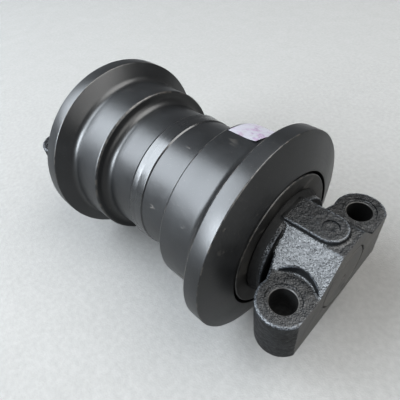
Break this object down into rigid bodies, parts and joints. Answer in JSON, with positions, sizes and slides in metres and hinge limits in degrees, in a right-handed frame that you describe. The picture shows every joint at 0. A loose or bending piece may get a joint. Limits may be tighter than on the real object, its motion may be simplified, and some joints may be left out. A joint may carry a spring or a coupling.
{
  "type": "track roller",
  "caption": "Double-flanged track roller whose shell spins on a fixed shaft, with a cast bolt-on collar pinned to each shaft end.",
  "frame": {"origin": "the middle of the shaft, on its axis", "axes": "+X along the shaft, away from the oil plug; +Z towards the bolt-head side, away from the track frame; Y across the two bolts of a collar"},
  "size_m": [0.339, 0.188, 0.188],
  "materials": {
    "shell_paint": "satin black paint over turned and hardened forged steel",
    "cast_paint": "satin black paint over rough cast iron",
    "ground_steel": "ground shaft and dowel steel",
    "seal_iron": "lapped cast seal iron",
    "bush_bronze": "turned bearing bronze",
    "seal_rubber": "moulded black rubber",
    "zinc_plate": "zinc-plated steel",
    "copper": "soft copper",
    "label_paper": "blank white paper label"
  },
  "bodies": {
    "shaft_group": {"shaft": "ground_steel", "oil_plug": "zinc_plate", "oil_plug_washer": "copper", "end_collar_right": "cast_paint", "end_collar_left": "cast_paint", "lock_pin_right": "ground_steel", "lock_pin_left": "ground_steel", "fixed_seal_ring_right": "seal_iron", "fixed_seal_ring_left": "seal_iron", "fixed_seal_rubber_right": "seal_rubber", "fixed_seal_rubber_left": "seal_rubber", "shaft_o_ring_right": "seal_rubber", "shaft_o_ring_left": "seal_rubber"},
    "roller_shell": {"shell_weld": "shell_paint", "paper_label": "label_paper", "shell_half_right": "shell_paint", "shell_half_left": "shell_paint", "flanged_bush_right": "bush_bronze", "flanged_bush_left": "bush_bronze", "rotating_seal_ring_right": "seal_iron", "rotating_seal_ring_left": "seal_iron", "rotating_seal_rubber_right": "seal_rubber", "rotating_seal_rubber_left": "seal_rubber"}
  },
  "joints": [
    {"name": "shell_spin", "type": "hinge", "parent": "shaft_group", "child": "roller_shell", "pos_m": [0, 0, 0], "axis": [1, 0, 0], "continuous": true}
  ]
}
